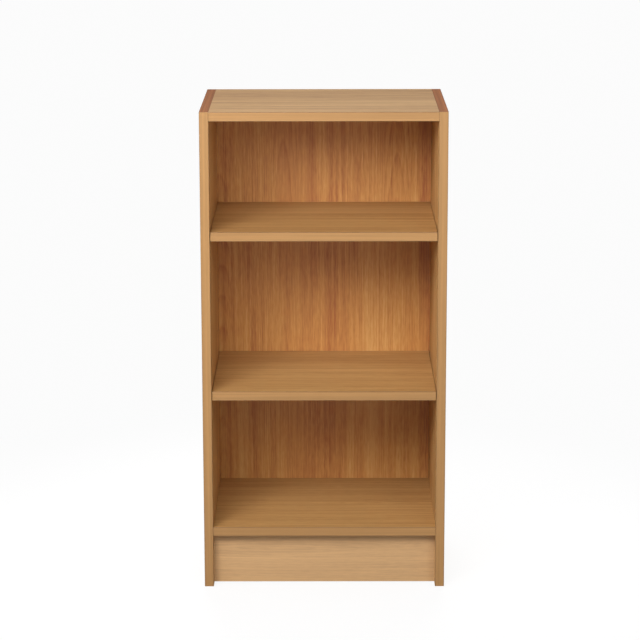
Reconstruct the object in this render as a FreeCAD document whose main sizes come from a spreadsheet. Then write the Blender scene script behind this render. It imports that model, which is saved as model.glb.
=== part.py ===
"""A flat-pack bookcase with two adjustable shelves, in foil-covered 15 mm chipboard.

Frame: millimetres, +Z up, +X to the right as seen from the front, the front faces -Y, and the origin is
on the floor, in the middle of the footprint. Every board stands in its own body with a lowest, left
corner at the body's own origin (the rear one for the plinth and the back, the front one for the rest),
and the body's Placement puts it in the case.
"""
import FreeCAD
import Part
import os

import Sketcher
from FreeCAD import Placement, Rotation, Vector

doc = FreeCAD.newDocument("Bookcase")

# ---------------------------------------------------------------- the driving dimensions
SIZES = {
    "width": 398,  # the whole case
    "depth": 290,
    "height": 794,
    "board": 15,  # thickness of every board but the back
    "back": 3,
    "band": 1,  # edging strip on the front and top edges
    "bottom_rise": 87,  # floor to the underside of the fixed bottom shelf
    "bottom_setback": 1.5,  # front of the case to the front of the bottom shelf
    "plinth_setback": 18,
    "plinth_gap": 2.5,  # floor to the plinth
    "back_inset": 1,  # side of the case to the edge of the back
    "shelf_gap": 1,  # a loose shelf to the side, and to the back
    "shelf_setback": 2,
    "upper_rise": 584,  # floor to the underside of each loose shelf
    "lower_rise": 319,
    "peg_front": 37,  # front of the case to the front column of peg holes
    "peg_spacing": 208,  # front column to rear column
    "peg_pitch": 32,
    "peg_holes": 7,  # in each row
    "peg_below_upper": 2,  # holes of its row below each shelf's own
    "peg_below_lower": 4,
    "peg_hole_radius": 2.5,
    "peg_hole_deep": 10,
    "peg_radius": 2.45,
    "peg_pin": 9,
    "peg_head": 8,
    "peg_head_radius": 4,
    "peg_flat": 2,  # peg's axis to the flat that carries the shelf
    "cam_front": 50,  # front of the case to the first cam and bolt
    "cam_spacing": 187,
    "cam_reach": 34,  # end of a board to the cam's middle
    "cam_hole_radius": 7.5,
    "cam_hole_deep": 12.7,
    "cam_radius": 7.35,
    "cam_tall": 12,
    "cam_recess": 0.3,
    "cam_channel": 3.6,  # radius of the way for the bolt's head
    "cam_head_room": 3,  # how far that way runs past the cam's middle
    "cam_slot": 1.2,
    "cam_slot_deep": 2.5,
    "bolt_hole_radius": 2.5,
    "bolt_hole_deep": 11,
    "bolt_way_radius": 4,
    "bolt_end_gap": 0.5,
    "bolt_thread_radius": 2.45,
    "bolt_flange": 2,
    "bolt_flange_radius": 3.6,
    "bolt_shank": 22,
    "bolt_shank_radius": 2.9,
    "bolt_neck": 6,
    "bolt_neck_radius": 1.9,
    "bolt_head": 6,
    "bolt_head_radius": 3.2,
    "dowel_hole_radius": 4,
    "dowel_side_deep": 11,
    "dowel_board_deep": 19,
    "dowel_radius": 3.95,
    "dowel_end_gap": 0.5,
    "dowel_bevel": 0.8,
    "plinth_dowel_low": 22,  # floor to the plinth's lower dowels
    "plinth_dowel_rise": 40,
    "pin_hole_radius": 0.85,
    "pin_radius": 0.8,
    "pin_long": 19,
    "pin_end_gap": 0.2,
    "pin_low": 130,  # floor to the lowest pin in a side
    "pin_from_top": 48,
    "pin_rows": 5,
    "pin_columns": 3,  # in the top, and in the bottom shelf
    "pin_head_radius": 1.8,
    "pin_head_seat": 1.9,
    "pin_head": 0.6,
    "block_leg": 25,
    "block_wall": 5,
    "block_long": 30,
    "block_from_middle": 90,
    "screw_radius": 1.7,
    "screw_hole_radius": 1.75,
    "screw_head_radius": 3.4,
    "screw_head": 2.2,
    "screw_long": 15,
    "screw_bite_hole": 11,
    "screw_slot": 0.8,
    "screw_slot_deep": 1.2,
    "corner": 0.5,  # radius of the softened front edges
}
sheet = doc.addObject("Spreadsheet::Sheet", "Sizes")
for row, (alias, number) in enumerate(SIZES.items(), start=1):
    sheet.set(f"A{row}", alias)
    sheet.set(f"B{row}", str(number))
    sheet.setAlias(f"B{row}", alias)
doc.recompute()


def size(text):
    """An expression on the sheet: every word of text that is an alias gets the sheet's name before it."""
    words = text.replace("(", " ( ").replace(")", " ) ").split()
    return " ".join(f"Sizes.{w}" if w in SIZES else w for w in words)


# Lengths that several pieces share, as expressions on the sheet
INNER = "( width - 2 * board )"
CASE_DEEP = "( depth - back )"
FRONT = "( 0 - depth / 2 )"
LEFT_FACE = "( board - width / 2 )"
SHELF_LONG = f"( {INNER} - 2 * shelf_gap )"
ROW_LONG = "( peg_pitch * ( peg_holes - 1 ) )"
PLINTH_TALL = "( bottom_rise - plinth_gap )"
CAM_REAR = "( cam_front + cam_spacing )"
DOWEL_LONG = "( dowel_side_deep + dowel_board_deep - 2 * dowel_end_gap )"
PIN_STEP = "( ( height - pin_low - pin_from_top ) / ( pin_rows - 1 ) )"

PLANES = {"XY": "XY_Plane", "XZ": "XZ_Plane", "YZ": "YZ_Plane"}
parts = []


# ---------------------------------------------------------------- how a piece is made
def new_body(label):
    body = doc.addObject("PartDesign::Body", label)
    body.Label = label
    parts.append(body)
    return body


def place(obj, x, y, z="0", turn=None):
    """Puts a piece in the case: three expressions for its place, and a turn about its own origin."""
    obj.Placement = Placement(Vector(0, 0, 0), turn or Rotation())
    for axis, text in (("x", x), ("y", y), ("z", z)):
        obj.setExpression(f".Placement.Base.{axis}", size(text))


def new_sketch(body, plane, offset="0"):
    """A sketch on one of the body's own planes, moved along the plane's normal."""
    support = next(f for f in body.Origin.OriginFeatures if f.Role == PLANES[plane])
    sketch = body.newObject("Sketcher::SketchObject", f"{body.Name}_sketch")
    sketch.AttachmentSupport = (support, [""])
    sketch.MapMode = "FlatFace"
    sketch.setExpression(".AttachmentOffset.Base.z", size(offset))
    return sketch


def dimension(sketch, kind, *ends, to):
    """A named distance or radius, bound to an expression. A leading minus measures towards the origin."""
    if to.startswith("-"):
        ends, to = (*ends[2:], *ends[:2]), to[1:]
    index = sketch.addConstraint(Sketcher.Constraint(kind, *ends, 1.0))
    name = f"{kind}{index}"
    sketch.renameConstraint(index, name)
    sketch.setExpression(f"Constraints.{name}", size(to))


def rectangle(sketch, left, low, wide, tall):
    corners = [Vector(0, 0, 0), Vector(1, 0, 0), Vector(1, 1, 0), Vector(0, 1, 0)]
    first = sketch.GeometryCount
    for start, end in zip(corners, corners[1:] + corners[:1]):
        sketch.addGeometry(Part.LineSegment(start, end), False)
    lines = [first, first + 1, first + 2, first + 3]
    for line, following in zip(lines, lines[1:] + lines[:1]):
        sketch.addConstraint(Sketcher.Constraint("Coincident", line, 2, following, 1))
    for line, way in zip(lines, ("Horizontal", "Vertical") * 2):
        sketch.addConstraint(Sketcher.Constraint(way, line))
    dimension(sketch, "DistanceX", lines[0], 1, lines[0], 2, to=wide)
    dimension(sketch, "DistanceY", lines[1], 1, lines[1], 2, to=tall)
    dimension(sketch, "DistanceX", -1, 1, lines[0], 1, to=left)
    dimension(sketch, "DistanceY", -1, 1, lines[0], 1, to=low)


def circle(sketch, x, y, radius):
    index = sketch.addGeometry(Part.Circle(Vector(1, 1, 0), Vector(0, 0, 1), 1), False)
    dimension(sketch, "DistanceX", -1, 1, index, 3, to=x)
    dimension(sketch, "DistanceY", -1, 1, index, 3, to=y)
    dimension(sketch, "Radius", index, to=radius)


def pad(body, sketch, long):
    feature = body.newObject("PartDesign::Pad", f"{body.Name}_pad")
    feature.Profile = sketch
    feature.setExpression("Length", size(long))
    sketch.Visibility = False
    return feature


def pocket(body, sketch, deep, forward=False):
    """Cuts against the sketch's normal, or along it when forward, and checks that it cut something."""
    doc.recompute()
    before = body.Shape.Volume
    feature = body.newObject("PartDesign::Pocket", f"{body.Name}_pocket")
    feature.Profile = sketch
    feature.setExpression("Length", size(deep))
    feature.Reversed = forward
    doc.recompute()
    if not body.Shape.Volume < before:
        raise RuntimeError(f"a pocket in {body.Label} cut nothing")
    return feature


def drill(body, plane, offset, holes, deep, forward):
    """Round holes of one depth: each is (x, y, radius) on the plane."""
    sketch = new_sketch(body, plane, offset)
    for hole in holes:
        circle(sketch, *hole)
    return pocket(body, sketch, deep, forward)


def repeat_up(body, feature, long, times):
    pattern = body.newObject("PartDesign::LinearPattern", f"{body.Name}_row")
    pattern.Originals = [feature]
    axis = next(f for f in body.Origin.OriginFeatures if f.Role == "Z_Axis")
    pattern.Direction = (axis, [""])
    pattern.setExpression("Length", size(long))
    pattern.setExpression("Occurrences", size(times))
    body.Tip = pattern
    doc.recompute()


def slab(label, plane, wide, tall, thick):
    """A rectangular board, drawn on one plane and padded along its normal."""
    body = new_body(label)
    sketch = new_sketch(body, plane)
    rectangle(sketch, "0", "0", wide, tall)
    pad(body, sketch, thick)
    return body


def turned(label, steps):
    """A round piece along its own Z: each step is (start, length, radius)."""
    body = new_body(label)
    for start, long, radius in steps:
        sketch = new_sketch(body, "XY", start)
        circle(sketch, "0", "0", radius)
        pad(body, sketch, long)
    doc.recompute()
    return body


def bevel(body, radius, amount):
    """Chamfers the round edges of one radius."""
    doc.recompute()
    base = body.Tip
    names = [
        f"Edge{i}"
        for i, edge in enumerate(base.Shape.Edges, start=1)
        if isinstance(edge.Curve, Part.Circle) and abs(edge.Curve.Radius - SIZES[radius]) < 1e-6
    ]
    feature = body.newObject("PartDesign::Chamfer", f"{body.Name}_bevel")
    feature.Base = (base, names)
    feature.setExpression("Size", size(amount))


# ---------------------------------------------------------------- where fasteners go
SIDES = {"left": 1, "right": -1}  # the way from each side panel into the case
INWARD = {"left": Rotation(Vector(0, 1, 0), 90), "right": Rotation(Vector(0, 1, 0), -90)}
COLUMNS = {"front": "peg_front", "rear": "( peg_front + peg_spacing )"}
CAM_ROWS = {"front": "cam_front", "rear": CAM_REAR}
FIXED_BOARDS = {"top": "( height - board )", "bottom": "bottom_rise"}
LOOSE_SHELVES = {
    "upper": ("upper_rise", "peg_below_upper"),
    "lower": ("lower_rise", "peg_below_lower"),
}
PLINTH_DOWELS = {"low": "plinth_dowel_low", "high": "( plinth_dowel_low + plinth_dowel_rise )"}
SIDE_PIN_ROWS = [f"( pin_low + {n} * {PIN_STEP} )" for n in range(SIZES["pin_rows"])]
BOARD_PIN_COLUMNS = [  # from the left end of the board
    f"( {INNER} * {n} / ( pin_columns + 1 ) )" for n in range(1, SIZES["pin_columns"] + 1)
]
DOWEL_ROW = f"( {CASE_DEEP} / 2 )"


# ---------------------------------------------------------------- the boards
def side_panel(hand):
    """A side: its front edge and top edge are left bare for their bands."""
    deep = f"( {CASE_DEEP} - band )"
    body = slab(f"{hand}_side_panel", "YZ", deep, "( height - band )", "board")
    inside, forward = ("board", False) if hand == "left" else ("0", True)
    middle = "board / 2"
    rows = [
        (f"( {column} - band )", f"( {rise} - peg_flat - {below} * peg_pitch )", "peg_hole_radius")
        for column in COLUMNS.values()
        for rise, below in LOOSE_SHELVES.values()
    ]
    lowest = drill(body, "YZ", inside, rows, "peg_hole_deep", forward)
    repeat_up(body, lowest, ROW_LONG, "peg_holes")
    bolts = [
        (f"( {row} - band )", f"( {rise} + {middle} )", "bolt_hole_radius")
        for row in CAM_ROWS.values()
        for rise in FIXED_BOARDS.values()
    ]
    drill(body, "YZ", inside, bolts, "bolt_hole_deep", forward)
    dowels = [
        (f"( {DOWEL_ROW} - band )", f"( {rise} + {middle} )", "dowel_hole_radius")
        for rise in FIXED_BOARDS.values()
    ]
    dowels += [
        (f"( plinth_setback + {middle} - band )", rise, "dowel_hole_radius")
        for rise in PLINTH_DOWELS.values()
    ]
    drill(body, "YZ", inside, dowels, "dowel_side_deep", forward)
    pins = [(middle, row, "pin_hole_radius") for row in SIDE_PIN_ROWS]
    drill(body, "XZ", f"( 0 - {deep} )", pins, "( pin_long - back )", True)
    left = "( 0 - width / 2 )" if hand == "left" else "( width / 2 - board )"
    place(body, left, f"( {FRONT} + band )")


def fixed_board(label, rise, setback):
    """The top or the bottom shelf: bored at both ends, with cam holes in its underside."""
    front = f"( {setback} + band )"
    deep = f"( {CASE_DEEP} - {front} )"
    body = slab(label, "XY", INNER, deep, "board")
    middle = "board / 2"
    ends = (("0", True), (INNER, False))
    for offset, forward in ends:
        ways = [(f"( {row} - {front} )", middle, "bolt_way_radius") for row in CAM_ROWS.values()]
        drill(body, "YZ", offset, ways, "cam_reach", forward)
        dowel = [(f"( {DOWEL_ROW} - {front} )", middle, "dowel_hole_radius")]
        drill(body, "YZ", offset, dowel, "dowel_board_deep", forward)
    cams = [
        (across, f"( {row} - {front} )", "cam_hole_radius")
        for across in ("cam_reach", f"( {INNER} - cam_reach )")
        for row in CAM_ROWS.values()
    ]
    drill(body, "XY", "0", cams, "cam_hole_deep", True)
    pins = [(column, middle, "pin_hole_radius") for column in BOARD_PIN_COLUMNS]
    drill(body, "XZ", f"( 0 - {deep} )", pins, "( pin_long - back )", True)
    if label == "bottom_shelf":
        screws = [
            (f"( {INNER} / 2 + {side} * block_from_middle - block_long / 4 )",
             f"( plinth_setback + board + block_leg / 2 + block_wall / 2 - {front} )",
             "screw_hole_radius")
            for side in ("-1", "1")
        ]
        drill(body, "XY", "0", screws, "screw_bite_hole", True)
    place(body, LEFT_FACE, f"( {FRONT} + {front} )", rise)


def loose_shelf(name, rise):
    deep = f"( {CASE_DEEP} - shelf_setback - band - shelf_gap )"
    body = slab(f"{name}_shelf", "XY", SHELF_LONG, deep, "board")
    place(body, f"( {LEFT_FACE} + shelf_gap )", f"( {FRONT} + shelf_setback + band )", rise)


def plinth():
    body = slab("plinth", "XZ", INNER, PLINTH_TALL, "board")
    dowels = [
        ("-board / 2", f"( {rise} - plinth_gap )", "dowel_hole_radius")
        for rise in PLINTH_DOWELS.values()
    ]
    for offset, forward in (("0", True), (INNER, False)):
        drill(body, "YZ", offset, dowels, "dowel_board_deep", forward)
    screws = [
        (f"( {INNER} / 2 + {side} * block_from_middle + block_long / 4 )",
         f"( {PLINTH_TALL} - block_leg / 2 - block_wall / 2 )",
         "screw_hole_radius")
        for side in ("-1", "1")
    ]
    drill(body, "XZ", "0", screws, "screw_bite_hole", True)
    place(body, LEFT_FACE, f"( {FRONT} + plinth_setback + board )", "plinth_gap")


def back_panel():
    """Thin board over the back edges, with a seat for each pin's head so that the heads lie flush."""
    wide = "( width - 2 * back_inset )"
    tall = "( height - bottom_rise - back_inset )"
    body = slab("back_panel", "XZ", wide, tall, "back")
    spots = [
        (across, f"( {row} - bottom_rise )")
        for across in ("( board / 2 - back_inset )", f"( {wide} - board / 2 + back_inset )")
        for row in SIDE_PIN_ROWS
    ]
    spots += [
        (f"( board - back_inset + {column} )", f"( {rise} + board / 2 - bottom_rise )")
        for rise in FIXED_BOARDS.values()
        for column in BOARD_PIN_COLUMNS
    ]
    drill(body, "XZ", "0", [(x, z, "pin_hole_radius") for x, z in spots], "back", True)
    drill(body, "XZ", "0", [(x, z, "pin_head_seat") for x, z in spots], "pin_head", True)
    place(body, "( back_inset - width / 2 )", f"( {FRONT} + depth )", "bottom_rise")


# ---------------------------------------------------------------- the edging
def strip(label, wide, deep, tall, x, y, z):
    """An edging strip. The two long edges of a front strip are rounded over."""
    body = slab(label, "XY", wide, deep, tall)
    if deep == "band":
        doc.recompute()
        base = body.Tip
        longest = max(edge.Length for edge in base.Shape.Edges)
        front = [
            f"Edge{i}"
            for i, edge in enumerate(base.Shape.Edges, start=1)
            if edge.Length > longest - 1e-6 and abs(edge.CenterOfMass.y) < 1e-6
        ]
        rounded = body.newObject("PartDesign::Fillet", f"{label}_corner")
        rounded.Base = (base, front)
        rounded.setExpression("Radius", size("corner"))
    place(body, x, y, z)


def edge_bands():
    """A strip on each front edge, and one on top of each side panel, behind its front strip."""
    for hand, left in (("left", "( 0 - width / 2 )"), ("right", "( width / 2 - board )")):
        strip(f"{hand}_side_front_band", "board", "band", "height", left, FRONT, "0")
        behind = f"( {FRONT} + band )"
        long = f"( {CASE_DEEP} - band )"
        strip(f"{hand}_side_top_band", "board", long, "band", left, behind, "( height - band )")
    for name, rise, setback in (("top_panel", FIXED_BOARDS["top"], "0"),
                                ("bottom_shelf", FIXED_BOARDS["bottom"], "bottom_setback")):
        strip(f"{name}_band", INNER, "band", "board", LEFT_FACE, f"( {FRONT} + {setback} )", rise)
    for name, (rise, _) in LOOSE_SHELVES.items():
        left = f"( {LEFT_FACE} + shelf_gap )"
        front = f"( {FRONT} + shelf_setback )"
        strip(f"{name}_shelf_band", SHELF_LONG, "band", "board", left, front, rise)


# ---------------------------------------------------------------- the fittings
def inner_face(hand, into):
    """The x of a point that lies some way into the case from a side panel's inner face."""
    return f"( {SIDES[hand]} * ( {LEFT_FACE} + {into} ) )"


def cam_bolt(label, hand, row, rise):
    """Screws into the side, and its head is held in the cam."""
    steps = [("bolt_end_gap", "( bolt_hole_deep - bolt_end_gap )", "bolt_thread_radius")]
    reached = "bolt_hole_deep"
    for step in ("bolt_flange", "bolt_shank", "bolt_neck", "bolt_head"):
        steps.append((reached, step, f"{step}_radius"))
        reached = f"{reached} + {step}"
    body = turned(label, steps)
    place(body, inner_face(hand, "( 0 - bolt_hole_deep )"), f"( {FRONT} + {row} )",
          f"( {rise} + board / 2 )", INWARD[hand])


def cam_lock(label, hand, row, rise):
    """A round cam with a way for the bolt's head and a cross slot in the face that shows."""
    body = turned(label, [("0", "cam_tall", "cam_radius")])
    way = new_sketch(body, "YZ", "cam_head_room")
    circle(way, "0", "( board / 2 - cam_recess )", "cam_channel")
    pocket(body, way, "( cam_radius + cam_head_room )")
    slot = new_sketch(body, "XY")
    rectangle(slot, "-cam_radius / 2", "-cam_slot / 2", "cam_radius", "cam_slot")
    pocket(body, slot, "cam_slot_deep", True)
    cross = new_sketch(body, "XY")
    rectangle(cross, "-cam_slot / 2", "-cam_radius / 2", "cam_slot", "cam_radius")
    pocket(body, cross, "cam_slot_deep", True)
    turn = Rotation(Vector(0, 0, 1), 0 if hand == "left" else 180)
    place(body, inner_face(hand, "cam_reach"), f"( {FRONT} + {row} )", f"( {rise} + cam_recess )", turn)


def dowel(label, hand, row, rise):
    body = turned(label, [("0", DOWEL_LONG, "dowel_radius")])
    bevel(body, "dowel_radius", "dowel_bevel")
    place(body, inner_face(hand, "( dowel_end_gap - dowel_side_deep )"), f"( {FRONT} + {row} )",
          rise, INWARD[hand])


def shelf_peg(label, hand, column, rise):
    """A push-in peg whose head is cut flat on top, where the shelf lies."""
    body = turned(label, [("0", "peg_pin", "peg_radius"), ("peg_pin", "peg_head", "peg_head_radius")])
    turn = INWARD[hand]
    up = turn.inverted().multVec(Vector(0, 0, 1))  # the case's up, in the peg's own frame
    flat = new_sketch(body, "XY", "peg_pin")
    above = "peg_flat" if up.x > 0 else "-( peg_flat + peg_head_radius )"
    rectangle(flat, above, "-peg_head_radius", "peg_head_radius", "2 * peg_head_radius")
    pocket(body, flat, "peg_head", True)
    place(body, inner_face(hand, "( 0 - peg_pin )"), f"( {FRONT} + {column} )",
          f"( {rise} - peg_flat )", turn)


def plinth_block(hand):
    """An angle with one screw up into the bottom shelf and one forward into the plinth."""
    body = slab(f"{hand}_plinth_block", "YZ", "block_leg", "block_wall", "block_long")
    upright = new_sketch(body, "YZ")
    rectangle(upright, "0", "-( block_leg - block_wall )", "block_wall", "block_leg")
    pad(body, upright, "block_long")
    middle = "block_leg / 2 + block_wall / 2"
    drill(body, "XY", "0", [("block_long / 4", middle, "screw_hole_radius")], "block_wall", True)
    through = new_sketch(body, "XZ")
    circle(through, "3 * block_long / 4", "-( block_leg / 2 - block_wall / 2 )", "screw_hole_radius")
    pocket(body, through, "block_wall")
    centre = "( 0 - block_from_middle )" if hand == "left" else "block_from_middle"
    place(body, f"( {centre} - block_long / 2 )", f"( {FRONT} + plinth_setback + board )",
          "( bottom_rise - block_wall )")
    return centre


def block_screw(label, x, y, z, turn):
    """Its own Z runs from under the head to the tip."""
    body = turned(label, [("0", "screw_long", "screw_radius")])
    head = new_sketch(body, "XY")
    circle(head, "0", "0", "screw_head_radius")
    pad(body, head, "screw_head").Reversed = True
    doc.recompute()
    for wide, tall in (("2 * screw_radius", "screw_slot"), ("screw_slot", "2 * screw_radius")):
        slot = new_sketch(body, "XY", "( 0 - screw_head )")
        rectangle(slot, f"-{wide} / 2", f"-{tall} / 2", wide, tall)
        pocket(body, slot, "screw_slot_deep", True)
    place(body, x, y, z, turn)


def panel_pins():
    """The pins of the back, one solid each, in one group."""
    places = [
        (f"( {side} * ( width / 2 - board / 2 ) )", row)
        for side in ("-1", "1")
        for row in SIDE_PIN_ROWS
    ]
    places += [
        (f"( {LEFT_FACE} + {column} )", f"( {rise} + board / 2 )")
        for rise in FIXED_BOARDS.values()
        for column in BOARD_PIN_COLUMNS
    ]
    pins = []
    for number, (x, z) in enumerate(places, start=1):
        rounds = []
        for name, radius, long in (("shank", "pin_radius", "( pin_long - pin_end_gap )"),
                                   ("head", "pin_head_radius", "pin_head")):
            piece = doc.addObject("Part::Cylinder", f"pin_{number}_{name}")
            piece.setExpression("Radius", size(radius))
            piece.setExpression("Height", size(long))
            place(piece, x, "depth / 2", z, Rotation(Vector(1, 0, 0), 90))
            rounds.append(piece)
        pin = doc.addObject("Part::Fuse", f"pin_{number}")
        pin.Base, pin.Tool = rounds
        pins.append(pin)
    group = doc.addObject("Part::Compound", "back_panel_pins")
    group.Label = "back_panel_pins"
    group.Links = pins
    parts.append(group)


def all_fittings():
    for hand in SIDES:
        for board, rise in FIXED_BOARDS.items():
            for end, row in CAM_ROWS.items():
                cam_bolt(f"{board}_{hand}_{end}_cam_bolt", hand, row, rise)
                cam_lock(f"{board}_{hand}_{end}_cam_lock", hand, row, rise)
            dowel(f"{board}_{hand}_dowel", hand, DOWEL_ROW, f"( {rise} + board / 2 )")
        for level, rise in PLINTH_DOWELS.items():
            dowel(f"plinth_{hand}_{level}_dowel", hand, "( plinth_setback + board / 2 )", rise)
        for shelf, (rise, _) in LOOSE_SHELVES.items():
            for end, column in COLUMNS.items():
                shelf_peg(f"{shelf}_{hand}_{end}_peg", hand, column, rise)
        centre = plinth_block(hand)
        rear = f"( {FRONT} + plinth_setback + board"
        block_screw(f"{hand}_block_screw_up", f"( {centre} - block_long / 4 )",
                    f"{rear} + block_leg / 2 + block_wall / 2 )",
                    "( bottom_rise - block_wall )", Rotation())
        block_screw(f"{hand}_block_screw_forward", f"( {centre} + block_long / 4 )",
                    f"{rear} + block_wall )",
                    "( bottom_rise - block_leg / 2 - block_wall / 2 )", Rotation(Vector(1, 0, 0), 90))
    panel_pins()


# ---------------------------------------------------------------- the whole case
for side in SIDES:
    side_panel(side)
fixed_board("top_panel", FIXED_BOARDS["top"], "0")
fixed_board("bottom_shelf", FIXED_BOARDS["bottom"], "bottom_setback")
for shelf_name, (underside, _) in LOOSE_SHELVES.items():
    loose_shelf(shelf_name, underside)
plinth()
back_panel()
edge_bands()
all_fittings()
doc.recompute()

# ---------------------------------------------------------------- check and write
faults = [o.Name for o in doc.Objects if "Invalid" in o.State or "Error" in o.State]
faults += [p.Label for p in parts if p.Shape.isNull() or not p.Shape.isValid()]
if faults:
    raise RuntimeError(f"these objects failed: {faults}")
os.makedirs("parts", exist_ok=True)
for part in parts:
    part.Shape.exportStep(os.path.join("parts", f"{part.Label}.step"))
print(f"{len(parts)} sub-parts written")
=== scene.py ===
"""A bookcase in oak-effect board: finishes, moulded and turned fittings, and a plain studio around it."""

import math

import bmesh
import bpy
from bpy.props import FloatProperty, FloatVectorProperty, IntProperty, PointerProperty
from mathutils import Matrix, Vector


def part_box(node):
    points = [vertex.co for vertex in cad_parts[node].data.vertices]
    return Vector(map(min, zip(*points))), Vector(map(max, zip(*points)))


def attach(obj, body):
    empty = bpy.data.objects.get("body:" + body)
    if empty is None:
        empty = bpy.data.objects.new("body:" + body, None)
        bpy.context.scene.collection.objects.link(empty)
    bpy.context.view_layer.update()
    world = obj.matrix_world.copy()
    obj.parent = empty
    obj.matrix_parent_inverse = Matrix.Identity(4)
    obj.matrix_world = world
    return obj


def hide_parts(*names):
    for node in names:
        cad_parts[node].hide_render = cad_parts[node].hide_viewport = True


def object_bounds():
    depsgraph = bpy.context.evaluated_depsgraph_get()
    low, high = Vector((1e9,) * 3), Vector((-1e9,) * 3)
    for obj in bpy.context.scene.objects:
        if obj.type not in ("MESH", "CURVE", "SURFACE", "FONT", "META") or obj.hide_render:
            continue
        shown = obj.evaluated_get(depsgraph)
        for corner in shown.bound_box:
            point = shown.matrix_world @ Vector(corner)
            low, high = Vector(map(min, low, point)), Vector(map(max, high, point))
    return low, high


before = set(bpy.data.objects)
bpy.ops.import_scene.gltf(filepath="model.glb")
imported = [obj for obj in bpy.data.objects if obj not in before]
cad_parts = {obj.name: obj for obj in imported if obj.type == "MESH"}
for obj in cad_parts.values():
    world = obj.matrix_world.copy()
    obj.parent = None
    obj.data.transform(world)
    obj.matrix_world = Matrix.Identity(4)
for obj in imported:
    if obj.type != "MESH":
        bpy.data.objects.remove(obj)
CAD_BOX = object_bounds()

bl_info = {
    "name": "Oak-effect bookcase",
    "version": (1, 0, 0),
    "blender": (4, 5, 0),
    "location": "3D View > Sidebar > Bookcase",
    "description": "Finishes and small fittings of a bookcase with two adjustable shelves",
    "category": "Object",
}

MM = 0.001
AXES = "XYZ"
SIDES = ("left", "right")
LEVELS = ("upper", "lower")
PIN_BOARD = 15 * MM
BORE_RADIUS = 1.75 * MM  # of a block's screw holes
BORE_REACH = 30 * MM
LOWEST_PIN = 130 * MM  # a side's lowest pin, above the floor
HIGHEST_PIN = 48 * MM  # a side's highest pin, below the top
GAPS_BETWEEN_PINS = 4  # up a side, and along a fixed board, whose end gaps have no pin
FOIL_SHINE = 0.36

# The studio, in metres, radians, watts and millimetres of lens
CAMERA_PLACE = Vector((0.004, -3.9, 1.311))
CAMERA_HEADING = 0.0028
CAMERA_DIP = 0.2242
CAMERA_ROLL = -0.0018
LENS = 133.5
FLOOR_RADIUS = 2.2
FLOOR_GLOW = 0.88
SURROUND = 0.97
FLOOR_FADE = (0.35, 1.0)  # where the lit floor starts and ends fading into its surroundings
ABOVE = 0.06
BELOW = 0.5
LIGHTS = {  # place, what it points at, width, height, power
    "key": ((-0.68, -2.02, 1.6), (0.0, 0.0, 0.42), 1.1, 1.0, 22.5),
    "key_side": ((-1.28, -1.67, 1.6), (0.0, 0.0, 0.42), 1.2, 1.0, 2.0),
    "key_small": ((-1.08, -1.87, 1.53), (0.0, 0.0, 0.42), 0.6, 0.5, 8.0),
    "key_near": ((-0.45, -1.37, 1.54), (0.0, 0.0, 0.42), 1.2, 1.0, 12.5),
    "left_wash": ((-1.57, -1.05, 1.3), (0.0, 0.0, 0.42), 1.2, 1.0, 5.0),
    "fill": ((1.0, -1.87, 1.6), (0.0, 0.0, 0.42), 1.2, 1.0, 8.0),
    "fill_low": ((1.14, -2.12, 0.77), (0.0, 0.0, 0.42), 1.2, 0.9, 6.0),
    "rear": ((0.0, 1.7, 2.7), (0.0, 0.0, 0.5), 1.8, 1.2, 35.0),
    "near_right": ((0.48, -1.17, 1.35), (0.0, 0.0, 0.6), 0.9, 0.7, 1.5),
    "near_top": ((-0.32, -1.12, 1.5), (0.0, 0.0, 0.42), 1.2, 1.0, 1.0),
    "behind": ((0.0, 2.4, 0.5), (0.0, 0.0, 0.4), 1.6, 0.5, 22.0),
    "left_end": ((-2.2, 0.4, 0.5), (0.0, 0.0, 0.4), 1.2, 0.5, 20.0),
    "right_end": ((2.2, 0.4, 0.5), (0.0, 0.0, 0.4), 1.2, 0.5, 20.0),
}


# ---------------------------------------------------------------- sizes and colours that a user would change
def length(name, text, millimetres):
    return FloatProperty(
        name=name, description=text, default=millimetres * MM, unit="LENGTH", min=0.0, precision=5
    )


def colour(name, text, red, green, blue):
    return FloatVectorProperty(
        name=name, description=text, default=(red, green, blue), subtype="COLOR", size=3, min=0.0, max=1.0
    )


class GrainSizes(bpy.types.PropertyGroup):
    stave: length("Stave", "Width of one printed stave of the boards", 62.0)
    ring: length("Ring", "Distance between growth rings", 9.0)
    band: length("Band", "Width of the broad bands along the grain", 22.0)
    streak: length("Streak", "Width of the soft streaks along the grain", 6.0)
    line: length("Line", "Width of the fine lines along the grain", 1.6)
    pore: length("Pore", "Width of the pores", 0.5)
    flake: length("Flake", "Width of the chips in the core of a board", 2.2)


class FittingSizes(bpy.types.PropertyGroup):
    peg_collar: length("Peg collar", "Radius of the peg's collar against the side", 4.0)
    peg_waist: length("Peg waist", "Radius of the peg's head behind its rim", 3.5)
    peg_rib: length("Peg rib", "How far the barbs stand out of the peg's pin", 0.15)
    dowel_flute: length("Dowel flute", "Depth of the flutes in a dowel", 0.35)
    dowel_flutes: IntProperty(
        name="Dowel flutes", description="Number of flutes round a dowel", default=20, min=3
    )
    block_wall: length("Block wall", "Thickness of the plinth blocks' ribs", 2.6)
    block_round: length("Block edge", "Radius of the plinth blocks' edges", 0.8)
    pin_dome: length("Pin dome", "How much a panel pin's head is domed", 0.25)


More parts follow.
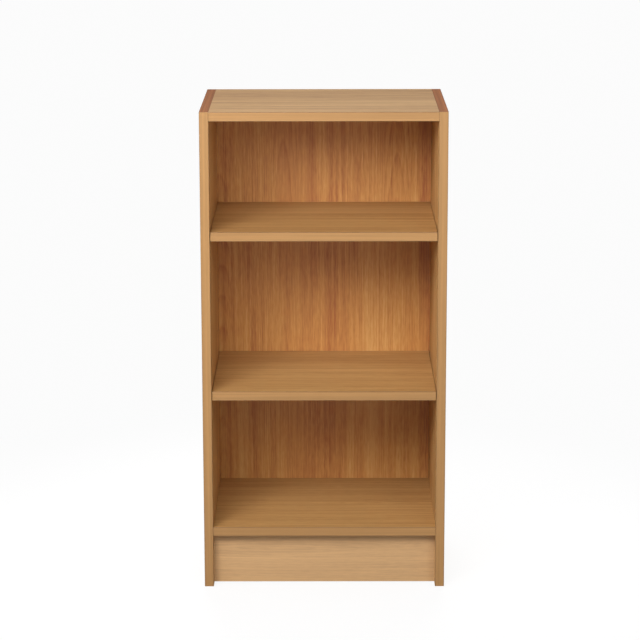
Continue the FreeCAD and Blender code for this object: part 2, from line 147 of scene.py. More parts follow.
class Colours(bpy.types.PropertyGroup):
    grain_light: colour("Light grain", "Lightest oak of the boards", 0.66, 0.4, 0.16)
    grain_middle: colour("Middle grain", "Middle oak of the boards", 0.53, 0.3, 0.11)
    grain_dark: colour("Dark grain", "Darkest lines of the boards", 0.36, 0.17, 0.05)
    back_light: colour("Light back", "Lightest oak of the back", 0.74, 0.43, 0.15)
    back_middle: colour("Middle back", "Middle oak of the back", 0.61, 0.29, 0.08)
    back_dark: colour("Dark back", "Darkest lines of the back", 0.4, 0.13, 0.04)
    plinth: colour("Plinth", "Lightest oak of the plinth", 0.63, 0.38, 0.18)
    edging: colour("Edging", "Edging of the front edges", 0.44, 0.23, 0.08)
    top_edging: colour("Top edging", "Edging on the sides' top ends", 0.46, 0.17, 0.06)
    core_light: colour("Light chips", "Palest chips of the core", 0.66, 0.5, 0.32)
    core_dark: colour("Dark chips", "Darkest chips of the core", 0.33, 0.2, 0.1)
    hardboard: colour("Hardboard", "Bare rear face of the back", 0.36, 0.22, 0.12)
    plastic: colour("Plastic", "Pegs and plinth blocks", 0.24, 0.12, 0.06)
    zinc: colour("Zinc", "Cams, bolts, screws and pins", 0.66, 0.66, 0.64)
    beech: colour("Beech", "Dowels", 0.66, 0.47, 0.29)
    floor: colour("Floor", "The studio's floor", 0.08, 0.08, 0.08)
    floor_bounce: colour("Floor bounce", "How much light the floor throws back", 0.45, 0.45, 0.45)


def sizes(kind):
    return getattr(bpy.context.scene, kind)


# ---------------------------------------------------------------- nodes written as expressions
class Varying:
    """What a node gives out. Arithmetic on a number adds Math nodes."""

    def __init__(self, nodes, socket):
        self.nodes = nodes
        self.socket = socket

    def math(self, operation, *terms, **settings):
        names = ("Value", "Value_001", "Value_002")
        inputs = dict(zip(names, terms))
        return self.nodes.node("ShaderNodeMath", {"operation": operation, **settings}, inputs)

    def __add__(self, other):
        return self.math("ADD", self, other)

    def __sub__(self, other):
        return self.math("SUBTRACT", self, other)

    def __rsub__(self, other):
        return self.math("SUBTRACT", other, self)

    def __mul__(self, other):
        return self.math("MULTIPLY", self, other)

    def __truediv__(self, other):
        return self.math("DIVIDE", self, other)

    def __pow__(self, other):
        return self.math("POWER", self, other)

    def __abs__(self):
        return self.math("ABSOLUTE", self)

    def __gt__(self, other):
        return self.math("GREATER_THAN", self, other)

    def __lt__(self, other):
        return self.math("LESS_THAN", self, other)

    __radd__ = __add__
    __rmul__ = __mul__

    def limited(self):
        return self.math("ADD", self, 0.0, use_clamp=True)


class Nodes:
    """A node tree, with one way to add any node to it."""

    def __init__(self, tree):
        self.tree = tree

    def node(self, kind, settings=None, inputs=None, give=None):
        node = self.tree.nodes.new(kind)
        for name, setting in (settings or {}).items():
            if name == "stops":
                self.set_stops(node.color_ramp, setting)
            else:
                setattr(node, name, setting)
        for name, value in (inputs or {}).items():
            self.plug(node, name, value)
        if give is None:
            return Varying(self, next(s for s in node.outputs if s.enabled))
        found = {s.identifier: s for s in node.outputs}
        if isinstance(give, str):
            return Varying(self, found[give])
        return [Varying(self, found[name]) for name in give]

    def plug(self, node, name, value):
        socket = next(s for s in node.inputs if s.identifier == name)
        if isinstance(value, Varying):
            self.tree.links.new(value.socket, socket)
        else:
            socket.default_value = value

    def set_stops(self, ramp, stops):
        while len(ramp.elements) < len(stops):
            ramp.elements.new(0.5)
        for element, (place, tone) in zip(ramp.elements, stops):
            element.position = place
            element.color = (*tone, 1.0)

    def mix(self, factor, first, second):
        return self.node(
            "ShaderNodeMix",
            {"data_type": "RGBA"},
            {"Factor_Float": factor, "A_Color": first, "B_Color": second},
            give="Result_Color",
        )


def solid(tone):
    return (*tone, 1.0)


class Finish(Nodes):
    """A material being made, with its surface shader."""

    def __init__(self, name):
        self.material = bpy.data.materials.new(name)
        self.material.use_nodes = True
        super().__init__(self.material.node_tree)
        self.surface = next(n for n in self.tree.nodes if n.type == "BSDF_PRINCIPLED")
        self.place, self.facing = self.node("ShaderNodeTexCoord", give=("Object", "Normal"))

    def set(self, **values):
        """Sets the surface shader's sockets; Base_Color stands for Base Color."""
        for name, value in values.items():
            self.plug(self.surface, name.replace("_", " "), value)
        return self.material

    def parts(self, vector):
        return self.node("ShaderNodeSeparateXYZ", inputs={"Vector": vector}, give=("X", "Y", "Z"))

    def stretched(self, scale, shift=(0.0, 0.0, 0.0), vector=None):
        """The place, moved and then scaled on each axis."""
        inputs = {"Vector": vector or self.place, "Location": shift, "Scale": scale}
        return self.node("ShaderNodeMapping", inputs=inputs)

    def noise(self, vector, scale=1.0, detail=2.0, rough=0.5):
        inputs = {"Vector": vector, "Scale": scale, "Detail": detail, "Roughness": rough}
        return self.node("ShaderNodeTexNoise", inputs=inputs)

    def span(self, value, low, high):
        """0 at low, 1 at high, and limited to that."""
        inputs = {"Value": value, "From Min": low, "From Max": high}
        return self.node("ShaderNodeMapRange", {"interpolation_type": "SMOOTHSTEP"}, inputs)

    def blend(self, factor, first, second):
        """One shader where factor is 0, and the other where it is 1."""
        return self.node(
            "ShaderNodeMixShader", inputs={"Fac": factor, "Shader": first, "Shader_001": second}
        )

    def bump(self, height, depth, strength=1.0):
        return self.node(
            "ShaderNodeBump", inputs={"Strength": strength, "Distance": depth, "Height": height}
        )


# ---------------------------------------------------------------- oak-effect foil and what is under it
def along(axis, value, other):
    """Three numbers: value on one axis and other on the rest."""
    return tuple(value if name == axis else other for name in AXES)


def oak_pattern(finish, grain, across, shift, stave_shift, tones, contrast=1.0):
    """Printed oak: staves, growth rings, streaks, lines and pores. Gives its colour and its relief."""
    size = sizes("grain_sizes")
    light, middle, dark = tones
    bend = finish.noise(finish.stretched(along(grain, 1.1, 9.0), shift), detail=1.0) - 0.5
    axes = dict(zip(AXES, finish.parts(finish.place)))
    run = axes[grain]
    side = axes[across] + bend * 0.022 + stave_shift
    stave = side / size.stave
    number = stave.math("FLOOR", stave)
    tone, heart, slope = finish.parts(
        finish.node("ShaderNodeTexWhiteNoise", {"noise_dimensions": "1D"}, {"W": number + shift[0]}, "Color")
    )
    off_heart = (stave - number - 0.2 - heart * 0.6) * size.stave
    below = (slope - 0.5) * run * 0.16 + (heart - 0.3) * 0.02
    wander = (finish.noise(finish.stretched(along(grain, 3.0, 42.0), shift), detail=2.0) - 0.5) * 0.9
    rings = (off_heart * off_heart + below * below) ** 0.5 / size.ring * 2.2 + wander
    ring = rings.math("FRACT", rings)
    late = ring ** 3.0 * finish.span(ring, 1.0, 0.86)
    strong = finish.noise(finish.stretched(along(grain, 2.0, 16.0), shift), detail=1.0)
    band = finish.noise(finish.stretched(along(grain, 1.3, 1.0 / size.band), shift), detail=1.0)
    streak = finish.noise(
        finish.stretched(along(grain, 4.0, 1.0 / size.streak), shift), detail=2.0, rough=0.55
    )
    line = finish.noise(finish.stretched(along(grain, 11.0, 1.0 / size.line), shift), detail=2.0, rough=0.6)
    fleck = finish.noise(finish.stretched(along(grain, 60.0, 0.8 / size.line), shift), detail=1.0)
    clear = finish.noise(finish.stretched(along(grain, 5.0, 0.5 / size.band), shift), detail=1.0)
    pore = finish.noise(finish.stretched(along(grain, 80.0, 1.0 / size.pore), shift), detail=1.0)
    pores = finish.span(pore, 0.60, 0.70) * finish.span(line, 0.35, 0.6)
    fine = (streak - 0.5) * 1.1 + (line - 0.5) * 0.9 + (fleck - 0.5) * 0.6
    broad = (band - 0.5) * 0.8 + (tone - 0.5) * 0.30 - late * finish.span(strong, 0.40, 0.62) * 0.42
    shade = 0.5 + (broad + fine * (0.4 + clear * 1.2)) * contrast
    stops = [(0.0, dark), (0.52, middle), (1.0, light)]
    oak = finish.node("ShaderNodeValToRGB", {"stops": stops}, {"Fac": shade.limited()}, "Color")
    oak = finish.mix(pores * 0.32, oak, solid(dark))
    return oak, line * 0.35 - pores


def chip_pattern(finish):
    """Chipboard core: pale and dark chips. Gives its colour and its relief."""
    size = sizes("grain_sizes")
    tones = sizes("bookcase_colours")
    flakes = {"Vector": finish.place, "Scale": 1.0 / size.flake, "Randomness": 1.0}
    distance, chip = finish.node("ShaderNodeTexVoronoi", inputs=flakes, give=("Distance", "Color"))
    pale = finish.parts(chip)[0]
    core = finish.mix(pale, solid(tones.core_dark), solid(tones.core_light))
    crumb = finish.noise(finish.place, scale=2.0 / size.flake, detail=2.0)
    return finish.mix(finish.span(crumb, 0.45, 0.75) * 0.5, core, solid(tones.core_dark)), distance


def faced(finish, face, node):
    """1 on the two large faces of a board, and 0 on its edges and in its holes."""
    low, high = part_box(node)
    axis = AXES.index(face)
    middle = (low[axis] + high[axis]) / 2
    half = (high[axis] - low[axis]) / 2
    place = finish.parts(finish.place)[axis]
    turn = finish.parts(finish.facing)[axis]
    return (abs(turn) > 0.5) * (abs(place - middle) > half - 0.4 * MM)


def board_finish(node, grain, across, face, shift, stave_shift, tones, contrast=1.0, sheen=0.50):
    """Foil on a board's faces, and the bare core on its edges and in its holes."""
    finish = Finish(f"{node}_foil")
    oak, relief = oak_pattern(finish, grain, across, shift, stave_shift, tones, contrast)
    core, crumbs = chip_pattern(finish)
    foil = faced(finish, face, node)
    finish.surface.inputs["Specular IOR Level"].default_value = FOIL_SHINE
    finish.set(
        Base_Color=finish.mix(foil, core, oak),
        Roughness=0.88 - foil * (0.88 - sheen) + relief * 0.05,
        Normal=finish.bump(relief * foil + crumbs * (1 - foil) * 4.0, 0.06 * MM, 0.5),
    )
    return finish.material


def dress(nodes, material):
    for name in nodes:
        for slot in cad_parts[name].material_slots:
            slot.material = material


class BOOKCASE_OT_boards(bpy.types.Operator):
    """Gives the case's boards and the loose shelves their oak-effect foil"""

    bl_idname = "bookcase.boards"
    bl_label = "Finish the boards"

    def execute(self, context):
        tones = sizes("bookcase_colours")
        oak = (tones.grain_light, tones.grain_middle, tones.grain_dark)
        pale = [[t * depth for t in tones.plinth] for depth in (1.0, 0.88, 0.62)]
        lying = (
            ("top_panel", 0.31, 0.012, 0.95),
            ("upper_shelf", 1.73, 0.031, 0.7),
            ("lower_shelf", 2.57, 0.049, 0.7),
            ("bottom_shelf", 3.91, 0.022, 0.7),
        )
        for node, shift, stave_shift, contrast in lying:
            dress([node], board_finish(node, "X", "Y", "Z", (shift,) * 3, stave_shift, oak, contrast))
        for node, shift in (("left_side_panel", 5.13), ("right_side_panel", 6.47)):
            dress([node], board_finish(node, "Z", "Y", "X", (shift,) * 3, 0.0, oak))
        dress(["plinth"], board_finish("plinth", "X", "Z", "Y", (7.29,) * 3, 0.035, pale, 0.6))
        return {"FINISHED"}


class BOOKCASE_OT_back(bpy.types.Operator):
    """Gives the back its printed front face and its bare hardboard rear face"""

    bl_idname = "bookcase.back"
    bl_label = "Finish the back"

    def execute(self, context):
        tones = sizes("bookcase_colours")
        finish = Finish("back_panel_print")
        oak, relief = oak_pattern(
            finish, "Z", "X", (8.2, 8.2, 8.2), 0.022,
            (tones.back_light, tones.back_middle, tones.back_dark), 0.85,
        )
        front = finish.parts(finish.facing)[1] < -0.5
        fibre = finish.noise(finish.place, scale=260.0, detail=4.0, rough=0.7)
        cloud = finish.noise(finish.place, scale=28.0, detail=5.0, rough=0.65)
        mottle = ((fibre - 0.5) * 0.9 + (cloud - 0.5) * 1.5 + 0.5).limited()
        bare = finish.mix(mottle, solid([t * 0.62 for t in tones.hardboard]), solid(tones.hardboard))
        x, y, z = finish.parts(finish.place)
        weave = (x * 2400.0).math("SINE", x * 2400.0) * (z * 2400.0).math("SINE", z * 2400.0)
        finish.set(
            Base_Color=finish.mix(front, bare, oak),
            Roughness=0.78 - front * 0.34 + relief * 0.04,
            Normal=finish.bump(relief * front + (weave * 0.6 + fibre) * (1 - front), 0.12 * MM, 0.6),
        )
        dress(["back_panel"], finish.material)
        return {"FINISHED"}


def band_finish(node, grain, across, number, tone, depth, sheen=0.36, shine=0.5):
    """Printed edging: streaks along it, and a dark line of glue where it meets the foil."""
    finish = Finish(f"{node}_edging")
    shift = (0.37 * (number + 1),) * 3
    low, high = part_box(node)
    axis = AXES.index(across)
    middle = (low[axis] + high[axis]) / 2
    half = (high[axis] - low[axis]) / 2
    off_border = half - abs(finish.parts(finish.place)[axis] - middle)
    streak = finish.noise(finish.stretched(along(grain, 2.0, 260.0), shift), detail=2.0)
    line = finish.noise(finish.stretched(along(grain, 9.0, 1100.0), shift), detail=2.0)
    shade = ((streak - 0.5) * 1.5 + (line - 0.5) * 0.9 + 0.5).limited()
    print_tone = finish.mix(shade, solid([t * depth for t in tone]), solid(tone))
    glue = 1 - finish.span(off_border, 0.5 * MM, 1.5 * MM)
    finish.surface.inputs["Specular IOR Level"].default_value = shine
    return finish.set(
        Base_Color=finish.mix(glue * 0.7, print_tone, solid([t * 0.45 for t in tone])),
        Roughness=sheen + line * 0.10,
        Normal=finish.bump(line, 0.03 * MM, 0.4),
    )


class BOOKCASE_OT_edging(bpy.types.Operator):
    """Gives the edging strips their finish"""

    bl_idname = "bookcase.edging"
    bl_label = "Finish the edging"

    def execute(self, context):
        tones = sizes("bookcase_colours")
        lying = ["top_panel_band", "bottom_shelf_band"] + [f"{level}_shelf_band" for level in LEVELS]
        upright = [f"{hand}_side_front_band" for hand in SIDES]
        for grain, across, nodes in (("X", "Z", lying), ("Z", "X", upright)):
            for number, node in enumerate(nodes):
                dress([node], band_finish(node, grain, across, number, tones.edging, 0.72))
        for number, hand in enumerate(SIDES):
            node = f"{hand}_side_top_band"
            dress([node], band_finish(node, "Y", "X", number, tones.top_edging, 0.55, 0.55, 0.10))
        return {"FINISHED"}


# ---------------------------------------------------------------- small finishes
def zinc_finish(name, rough):
    finish = Finish(name)
    tone = sizes("bookcase_colours").zinc
    cloud = finish.noise(finish.place, scale=420.0, detail=3.0, rough=0.6)
    finish.surface.inputs["Metallic"].default_value = 1.0
    return finish.set(
        Base_Color=finish.mix(cloud, solid([t * 0.72 for t in tone]), solid(tone)),
        Roughness=rough + cloud * 0.18,
        Normal=finish.bump(cloud, 0.05 * MM, 0.4),
    )


def plastic_finish(name):
    finish = Finish(name)
    tone = sizes("bookcase_colours").plastic
    grain = finish.noise(finish.place, scale=1500.0, detail=2.0)
    flow = finish.noise(finish.place, scale=90.0, detail=1.0)
    return finish.set(
        Base_Color=finish.mix(flow, solid([t * 0.85 for t in tone]), solid(tone)),
        Roughness=0.34 + grain * 0.12,
        Normal=finish.bump(grain, 0.03 * MM, 0.5),
    )


def beech_finish(name):
    finish = Finish(name)
    tone = sizes("bookcase_colours").beech
    line = finish.noise(finish.stretched((60.0, 900.0, 900.0)), detail=2.0)
    fleck = finish.span(finish.noise(finish.stretched((320.0, 1500.0, 1500.0))), 0.62, 0.7)
    shade = finish.mix(line, solid([t * 0.78 for t in tone]), solid(tone))
    return finish.set(
        Base_Color=finish.mix(fleck * 0.4, shade, solid([t * 0.5 for t in tone])),
        Roughness=0.62 + line * 0.1,
        Normal=finish.bump(line, 0.08 * MM, 0.5),
    )


# ---------------------------------------------------------------- how a fitting is made
def new_piece(name, mesh, material=None):
    piece = bpy.data.objects.new(name, mesh)
    bpy.context.scene.collection.objects.link(piece)
    if material is not None:
        mesh.materials.clear()
        mesh.materials.append(material)
    return piece


def turned(name, profile, around=24, flat=None):
    """A closed round shape along X from (x, radius) steps.

    With flat = (from x, height), its head is cut off flat above that height.
    """
    mesh = bpy.data.meshes.new(name)
    shape = bmesh.new()
    rings = []
    for x, radius in profile:
        ring = []
        for step in range(around):
            angle = 2 * math.pi * step / around
            z = radius * math.sin(angle)
            if flat and x >= flat[0]:
                z = min(z, flat[1])
            ring.append(shape.verts.new((x, radius * math.cos(angle), z)))
        rings.append(ring)
    for ring, following in zip(rings, rings[1:]):
        for step in range(around):
            beside = (step + 1) % around
            shape.faces.new((ring[step], ring[beside], following[beside], following[step]))
    shape.faces.new(rings[0])
    shape.faces.new(rings[-1])
    bmesh.ops.recalc_face_normals(shape, faces=shape.faces)
    shape.to_mesh(mesh)
    shape.free()
    return mesh


class Layout(Nodes):
    """A Geometry Nodes tree with named inputs, run on a mesh of places."""

    def __init__(self, name, inputs):
        group = bpy.data.node_groups.new(name, "GeometryNodeTree")
        super().__init__(group)
        face = group.interface
        face.new_socket("Geometry", in_out="OUTPUT", socket_type="NodeSocketGeometry")
        face.new_socket("Places", in_out="INPUT", socket_type="NodeSocketGeometry")
        self.named = {
            label: face.new_socket(label, in_out="INPUT", socket_type=f"NodeSocket{kind}")
            for label, kind in inputs.items()
        }
        start = group.nodes.new("NodeGroupInput")
        self.given = {s.name: Varying(self, s) for s in start.outputs if s.name}

    def finish(self, shape):
        """Ends the tree: real geometry with its material."""
        real = self.node("GeometryNodeRealizeInstances", inputs={"Geometry": shape})
        dressed = self.node(
            "GeometryNodeSetMaterial", inputs={"Geometry": real, "Material": self.given["Material"]}
        )
        result = self.tree.nodes.new("NodeGroupOutput")
        self.plug(result, self.tree.interface.items_tree[0].identifier, dressed)
        return self

    def run(self, name, places, **values):
        """The tree's result on these places, as a plain mesh object."""
        mesh = bpy.data.meshes.new(f"{name}_places")
        mesh.from_pydata(places, [], [])
        holder = new_piece(f"{name}_layout", mesh)
        modifier = holder.modifiers.new(self.tree.name, "NODES")
        modifier.node_group = self.tree
        for label, value in values.items():
            modifier[self.named[label.replace("_", " ")].identifier] = value
        settled = holder.evaluated_get(bpy.context.evaluated_depsgraph_get())
        piece = new_piece(name, bpy.data.meshes.new_from_object(settled))
        bpy.data.objects.remove(holder)
        return piece


def pointing_inward(tree, roll):
    """The turn of a fitting in a side that points into the case."""
    x = tree.node(
        "ShaderNodeSeparateXYZ", inputs={"Vector": tree.node("GeometryNodeInputPosition")}, give="X"
    )
    return tree.node("ShaderNodeCombineXYZ", inputs={"X": roll, "Y": 0.0, "Z": (x > 0.0) * math.pi})


def pointing_forward(tree, roll):
    """The turn of a pin in the back."""
    return tree.node("ShaderNodeCombineXYZ", inputs={"Y": roll})


def fitting_layout(name, pointing):
    """Sets a fitting on every place, turned by pointing, and rolled about its own length."""
    tree = Layout(name, {"Fitting": "Object", "Roll": "Float", "Seed": "Int", "Material": "Material"})
    given = tree.given
    fitting = tree.node(
        "GeometryNodeObjectInfo", {"transform_space": "ORIGINAL"}, {"Object": given["Fitting"]}, "Geometry"
    )
    roll = tree.node(
        "FunctionNodeRandomValue",
        {"data_type": "FLOAT"},
        {"Min_001": 0.0, "Max_001": given["Roll"], "Seed": given["Seed"]},
        "Value_001",
    )
    spread = tree.node(
        "GeometryNodeInstanceOnPoints",
        inputs={"Points": given["Places"], "Instance": fitting, "Rotation": pointing(tree, roll)},
    )
    return tree.finish(spread)


def dowel_layout():
    """Fluted dowels along X on every place, with tapered ends."""
    tree = Layout(
        "fluted_dowels",
        {"Radius": "Float", "Length": "Float", "Flutes": "Int", "Flute Depth": "Float", "Taper": "Float",
         "Material": "Material"},
    )
    given = tree.given
    steps = 6
    path = tree.node("GeometryNodeCurvePrimitiveLine", {"mode": "POINTS"}, {
        "Start": tree.node("ShaderNodeCombineXYZ", inputs={"X": given["Length"] * -0.5}),
        "End": tree.node("ShaderNodeCombineXYZ", inputs={"X": given["Length"] * 0.5}),
    })
    path = tree.node("GeometryNodeResampleCurve", inputs={"Curve": path, "Count": 41})
    x = tree.node(
        "ShaderNodeSeparateXYZ", inputs={"Vector": tree.node("GeometryNodeInputPosition")}, give="X"
    )
    from_end = given["Length"] * 0.5 - abs(x)
    narrow = tree.node(
        "ShaderNodeMapRange",
        inputs={"Value": from_end, "From Min": 0.0, "From Max": given["Taper"], "To Min": 0.8, "To Max": 1.0},
    )
    path = tree.node("GeometryNodeSetCurveRadius", inputs={"Curve": path, "Radius": narrow})
    ring = tree.node(
        "GeometryNodeCurvePrimitiveCircle",
        inputs={"Resolution": given["Flutes"] * steps, "Radius": given["Radius"]},
        give="Curve",
    )
    index = tree.node("GeometryNodeInputIndex")
    turn = index * (2.0 * math.pi / steps)
    dip = (turn.math("COSINE", turn) * 0.5 + 0.5) ** 2.0 * given["Flute Depth"]
    inward = tree.node(
        "ShaderNodeVectorMath",
        {"operation": "SCALE"},
        {
            "Vector": tree.node(
                "ShaderNodeVectorMath", {"operation": "NORMALIZE"},
                {"Vector": tree.node("GeometryNodeInputPosition")},
            ),
            "Scale": dip * -1.0,
        },
    )
    ring = tree.node("GeometryNodeSetPosition", inputs={"Geometry": ring, "Offset": inward})
    dowel = tree.node(
        "GeometryNodeCurveToMesh", inputs={"Curve": path, "Profile Curve": ring, "Fill Caps": True}
    )
    spread = tree.node(
        "GeometryNodeInstanceOnPoints", inputs={"Points": given["Places"], "Instance": dowel}
    )
    return tree.finish(spread)


def prism(outline, start, end):
    """A closed shape: an outline of (y, z) points, carried from one x to another."""
    mesh = bpy.data.meshes.new("prism")
    shape = bmesh.new()
    near = [shape.verts.new((start, y, z)) for y, z in outline]
    far = [shape.verts.new((end, y, z)) for y, z in outline]
    shape.faces.new(near)
    shape.faces.new(far)
    for n in range(len(outline)):
        after = (n + 1) % len(outline)
        shape.faces.new((near[n], near[after], far[after], far[n]))
    bmesh.ops.recalc_face_normals(shape, faces=shape.faces)
    shape.to_mesh(mesh)
    shape.free()
    return mesh


def keep_result(piece):
    """Applies a piece's modifiers."""
    settled = piece.evaluated_get(bpy.context.evaluated_depsgraph_get())
    mesh = bpy.data.meshes.new_from_object(settled)
    piece.modifiers.clear()
    piece.data = mesh


def cut(piece, tool, operation):
    """Joins a closed shape to a piece, or takes it away."""
    change = piece.modifiers.new("change", "BOOLEAN")
    change.operation = operation
    change.solver = "EXACT"
    change.object = tool
    keep_result(piece)
    bpy.data.objects.remove(tool)


def middle_of(node):
    low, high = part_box(node)
    return [(a + b) / 2 for a, b in zip(low, high)]


def settle(piece, body, nodes):
    """Smooths a new piece between its edges, says what it rides on, and hides the parts it stands for."""
    piece.data.shade_smooth()
    piece.data.set_sharp_from_angle(angle=math.radians(35.0))
    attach(piece, body)
    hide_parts(*nodes)


class BOOKCASE_OT_pegs(bpy.types.Operator):
    """Makes the moulded pegs that carry each loose shelf"""

    bl_idname = "bookcase.pegs"
    bl_label = "Make the shelf pegs"

    def execute(self, context):
        size = sizes("fitting_sizes")
        low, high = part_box("upper_left_front_peg")
        long = high[0] - low[0]
        radius = (high[1] - low[1]) / 2
        top = high[2] - low[2] - radius
        pin = long * 9 / 17  # the pin is 9 of the peg's 17 mm
        pin_radius = 2.4 * MM
        profile = [(0.0, 1.5 * MM), (0.9 * MM, pin_radius)]
        for start in (2.0 * MM, 4.2 * MM, 6.4 * MM):
            profile += [(start, pin_radius), (start + 1.4 * MM, pin_radius + size.peg_rib * 0.3),
                        (start + 1.5 * MM, pin_radius)]
        profile += [
            (pin, pin_radius),
            (pin + 0.05 * MM, size.peg_collar * 0.96),
            (pin + 0.25 * MM, size.peg_collar),
            (pin + 1.3 * MM, size.peg_collar),
            (pin + 1.6 * MM, size.peg_waist),
            (long - 1.9 * MM, size.peg_waist),
            (long - 1.6 * MM, size.peg_collar),
            (long - 0.5 * MM, size.peg_collar),
            (long - 0.15 * MM, size.peg_collar * 0.95),
            (long, size.peg_collar * 0.84),
        ]
        profile = [(x - long / 2, r) for x, r in profile]
        peg = new_piece("peg_pattern", turned("peg_pattern", profile, 32, (pin - long / 2, top)))
        tree = fitting_layout("set_fittings", pointing_inward)
        plastic = plastic_finish("brown_plastic")
        for level in LEVELS:
            nodes = [f"{level}_{hand}_{end}_peg" for hand in SIDES for end in ("front", "rear")]
            places = []
            for node in nodes:
                x, y, _ = middle_of(node)
                places.append((x, y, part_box(node)[0][2] + radius))
            piece = tree.run(
                f"{level}_shelf_pegs", places, Fitting=peg, Roll=0.0, Seed=1, Material=plastic
            )
            settle(piece, f"{level}_pegs", nodes)
        bpy.data.objects.remove(peg)
        return {"FINISHED"}


class BOOKCASE_OT_dowels(bpy.types.Operator):
    """Makes the fluted dowels that join the fixed boards to the sides"""

    bl_idname = "bookcase.dowels"
    bl_label = "Make the dowels"

    def execute(self, context):
        size = sizes("fitting_sizes")
        nodes = [f"{board}_{hand}_dowel" for board in ("top", "bottom") for hand in SIDES]
        nodes += [f"plinth_{hand}_{end}_dowel" for hand in SIDES for end in ("low", "high")]
        low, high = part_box(nodes[0])
        piece = dowel_layout().run(
            "dowels",
            [middle_of(node) for node in nodes],
            Radius=(high[2] - low[2]) / 2,
            Length=high[0] - low[0],
            Flutes=size.dowel_flutes,
            Flute_Depth=size.dowel_flute,
            Taper=1.2 * MM,
            Material=beech_finish("beech"),
        )
        settle(piece, "carcass", nodes)
        return {"FINISHED"}


class BOOKCASE_OT_pins(bpy.types.Operator):
    """Makes the pins that hold the back"""

    bl_idname = "bookcase.pins"
    bl_label = "Make the back's pins"

    def execute(self, context):
        size = sizes("fitting_sizes")
        low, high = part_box("back_panel_pins")
        long = high[1] - low[1]
        profile = [(0.0, 0.15 * MM), (1.6 * MM, 0.8 * MM), (long - 0.6 * MM, 0.8 * MM)]
        profile += [(long - 0.55 * MM, 1.7 * MM), (long - size.pin_dome, 1.8 * MM)]
        profile += [(long - size.pin_dome * 0.35, 1.2 * MM), (long, 0.3 * MM)]
        mesh = turned("pin_pattern", [(x - long, r) for x, r in profile], 16)
        mesh.transform(Matrix.Rotation(math.pi / 2, 4, "Z"))
        pin = new_piece("pin_pattern", mesh)
        middle = PIN_BOARD / 2
        top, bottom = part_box("top_panel"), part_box("bottom_shelf")
        rise = (CAD_BOX[1][2] - LOWEST_PIN - HIGHEST_PIN) / GAPS_BETWEEN_PINS
        rows = [LOWEST_PIN + n * rise for n in range(GAPS_BETWEEN_PINS + 1)]
        places = [(hand * (CAD_BOX[1][0] - middle), high[1], z) for hand in (-1, 1) for z in rows]
        inner = top[1][0] - top[0][0]
        for low_z in (top[0][2], bottom[0][2]):
            places += [(top[0][0] + inner * n / GAPS_BETWEEN_PINS, high[1], low_z + middle)
                       for n in range(1, GAPS_BETWEEN_PINS)]
        piece = fitting_layout("set_pins", pointing_forward).run(
            "back_pins", places, Fitting=pin, Roll=math.pi, Seed=4, Material=zinc_finish("pin_steel", 0.34)
        )
        bpy.data.objects.remove(pin)
        settle(piece, "carcass", ["back_panel_pins"])
        return {"FINISHED"}


class BOOKCASE_OT_cams(bpy.types.Operator):
    """Gives the cams, their bolts and the block screws their metal"""

    bl_idname = "bookcase.cams"
    bl_label = "Finish the cams and screws"

    def execute(self, context):
        ends = [f"{board}_{hand}_{end}" for board in ("top", "bottom") for hand in SIDES
                for end in ("front", "rear")]
        dress([f"{end}_cam_lock" for end in ends], zinc_finish("cast_zinc", 0.42))
        steel = zinc_finish("plated_steel", 0.26)
        dress([f"{end}_cam_bolt" for end in ends], steel)
        dress([f"{hand}_block_screw_{way}" for hand in SIDES for way in ("up", "forward")], steel)
        return {"FINISHED"}


class BOOKCASE_OT_blocks(bpy.types.Operator):
    """Makes the two moulded blocks behind the plinth"""

    bl_idname = "bookcase.blocks"
    bl_label = "Make the plinth blocks"

    def execute(self, context):
        size = sizes("fitting_sizes")
        plastic = bpy.data.materials["brown_plastic"]
        for hand in SIDES:
            node = f"{hand}_plinth_block"
            low, high = (Vector(corner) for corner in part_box(node))
            wall = 5 * MM
            rib = size.block_wall
            outline = [
                (low.y, high.z), (high.y, high.z), (high.y, high.z - wall),
                (low.y + wall, high.z - wall), (low.y + wall, low.z), (low.y, low.z),
            ]
            piece = new_piece(f"{hand}_moulded_block", prism(outline, low.x, high.x), plastic)
            gusset = [
                (low.y + wall / 2, high.z - wall / 2), (high.y - wall / 2, high.z - wall / 2),
                (high.y - wall / 2, high.z - wall - 1 * MM), (low.y + wall + 1 * MM, low.z + wall / 2),
                (low.y + wall / 2, low.z + wall / 2),
            ]
            middle = (low.x + high.x) / 2
            tools = [new_piece("rib", prism(gusset, x, x + rib))
                     for x in (low.x + 0.4 * MM, middle - rib / 2, high.x - rib - 0.4 * MM)]
            for tool in tools:
                cut(piece, tool, "UNION")
            for screw in ("up", "forward"):
                where = middle_of(f"{hand}_block_screw_{screw}")
                drill = turned("bore", [(-BORE_REACH, BORE_RADIUS), (BORE_REACH, BORE_RADIUS)], 24)
                drill.transform(Matrix.Rotation(math.pi / 2, 4, "Y" if screw == "up" else "Z"))
                drill.transform(Matrix.Translation(where))
                cut(piece, new_piece("bore", drill), "DIFFERENCE")
            bevel = piece.modifiers.new("round", "BEVEL")
            bevel.width = size.block_round
            bevel.segments = 2
            bevel.limit_method = "ANGLE"
            bevel.angle_limit = math.radians(40)
            keep_result(piece)
            settle(piece, "carcass", [node])
        return {"FINISHED"}


# ---------------------------------------------------------------- the studio
def soft_light(name, place, aim, width, height, power):
    data = bpy.data.lights.new(name, "AREA")
    data.shape = "RECTANGLE"
    data.size, data.size_y = width, height
    data.energy = power
    light = bpy.data.objects.new(name, data)
    light.location = place
    light.rotation_euler = (Vector(aim) - Vector(place)).to_track_quat("-Z", "Y").to_euler()
    bpy.context.scene.collection.objects.link(light)


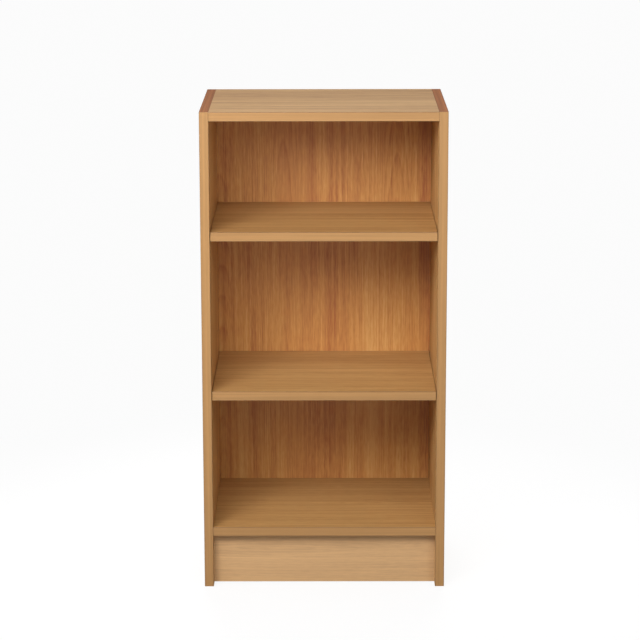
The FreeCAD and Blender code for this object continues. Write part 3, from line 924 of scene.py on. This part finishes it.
class BOOKCASE_OT_stage(bpy.types.Operator):
    """Makes the pale floor, the soft lights, the white surroundings and the camera"""

    bl_idname = "bookcase.stage"
    bl_label = "Make the studio"

    def execute(self, context):
        scene = context.scene
        tones = sizes("bookcase_colours")
        mesh = bpy.data.meshes.new("floor")
        shape = bmesh.new()
        bmesh.ops.create_circle(shape, cap_ends=True, radius=FLOOR_RADIUS, segments=96)
        shape.to_mesh(mesh)
        shape.free()
        paint = Finish("pale_floor")
        paint.set(
            Base_Color=solid(tones.floor), Roughness=0.9,
            Emission_Color=solid((1.0, 1.0, 1.0)), Emission_Strength=FLOOR_GLOW,
        )
        from_middle = paint.node(
            "ShaderNodeVectorMath", {"operation": "LENGTH"}, {"Vector": paint.place}, "Value"
        )
        open_floor = paint.node("ShaderNodeEmission", inputs={"Strength": SURROUND})
        near_floor = Varying(paint, paint.surface.outputs[0])
        pale = paint.blend(paint.span(from_middle, *FLOOR_FADE), near_floor, open_floor)
        dull = paint.node("ShaderNodeBsdfDiffuse", inputs={"Color": solid(tones.floor_bounce)})
        seen = paint.node("ShaderNodeLightPath", give="Is Camera Ray")
        paint.plug(paint.tree.nodes["Material Output"], "Surface", paint.blend(seen, dull, pale))
        floor = new_piece("floor", mesh, paint.material)
        floor.location.z = -0.2 * MM

        for name, setting in LIGHTS.items():
            soft_light(name, *setting)

        world = bpy.data.worlds.new("studio")
        world.use_nodes = True
        sky = Nodes(world.node_tree)
        seen = sky.node("ShaderNodeLightPath", give="Is Camera Ray")
        background = next(n for n in world.node_tree.nodes if n.type == "BACKGROUND")
        background.inputs["Color"].default_value = solid((1.0, 1.0, 1.0))
        way = sky.node("ShaderNodeTexCoord", give="Generated")
        height = sky.node("ShaderNodeSeparateXYZ", inputs={"Vector": way}, give="Z")
        ambient = sky.node(
            "ShaderNodeMapRange",
            inputs={"Value": height, "From Min": -0.1, "From Max": 0.1, "To Min": BELOW, "To Max": ABOVE},
        )
        sky.plug(background, "Strength", seen * SURROUND + (1.0 - seen) * ambient)
        scene.world = world

        data = bpy.data.cameras.new("camera")
        data.sensor_width = 36.0
        data.lens = LENS
        data.clip_end = 50.0
        camera = bpy.data.objects.new("camera", data)
        camera.matrix_world = (
            Matrix.Translation(CAMERA_PLACE)
            @ Matrix.Rotation(CAMERA_HEADING, 4, "Z")
            @ Matrix.Rotation(math.pi / 2 - CAMERA_DIP, 4, "X")
            @ Matrix.Rotation(CAMERA_ROLL, 4, "Z")
        )
        scene.collection.objects.link(camera)
        scene.camera = camera
        scene.view_settings.view_transform = "Standard"
        scene.view_settings.look = "None"
        return {"FINISHED"}


class BOOKCASE_PT_panel(bpy.types.Panel):
    """Lists the steps that make the bookcase, and its sizes and colours"""

    bl_idname = "BOOKCASE_PT_panel"
    bl_label = "Bookcase"
    bl_space_type = "VIEW_3D"
    bl_region_type = "UI"
    bl_category = "Bookcase"

    def draw(self, context):
        column = self.layout.column(align=True)
        for step in STEPS:
            column.operator(step.bl_idname)
        for name, kind in SETTINGS.items():
            column.separator()
            for entry in kind.__annotations__:
                column.prop(getattr(context.scene, name), entry)


SETTINGS = {"grain_sizes": GrainSizes, "fitting_sizes": FittingSizes, "bookcase_colours": Colours}
STEPS = (
    BOOKCASE_OT_boards,
    BOOKCASE_OT_back,
    BOOKCASE_OT_edging,
    BOOKCASE_OT_pegs,
    BOOKCASE_OT_dowels,
    BOOKCASE_OT_pins,
    BOOKCASE_OT_cams,
    BOOKCASE_OT_blocks,
    BOOKCASE_OT_stage,
)


def register():
    for kind in (*SETTINGS.values(), *STEPS, BOOKCASE_PT_panel):
        bpy.utils.register_class(kind)
    for name, kind in SETTINGS.items():
        setattr(bpy.types.Scene, name, PointerProperty(type=kind))


def unregister():
    for name in SETTINGS:
        delattr(bpy.types.Scene, name)
    for kind in (BOOKCASE_PT_panel, *reversed(STEPS), *SETTINGS.values()):
        bpy.utils.unregister_class(kind)


def main():
    register()
    for step in STEPS:
        group, name = step.bl_idname.split(".")
        getattr(getattr(bpy.ops, group), name)()


if __name__ == "__main__":
    main()
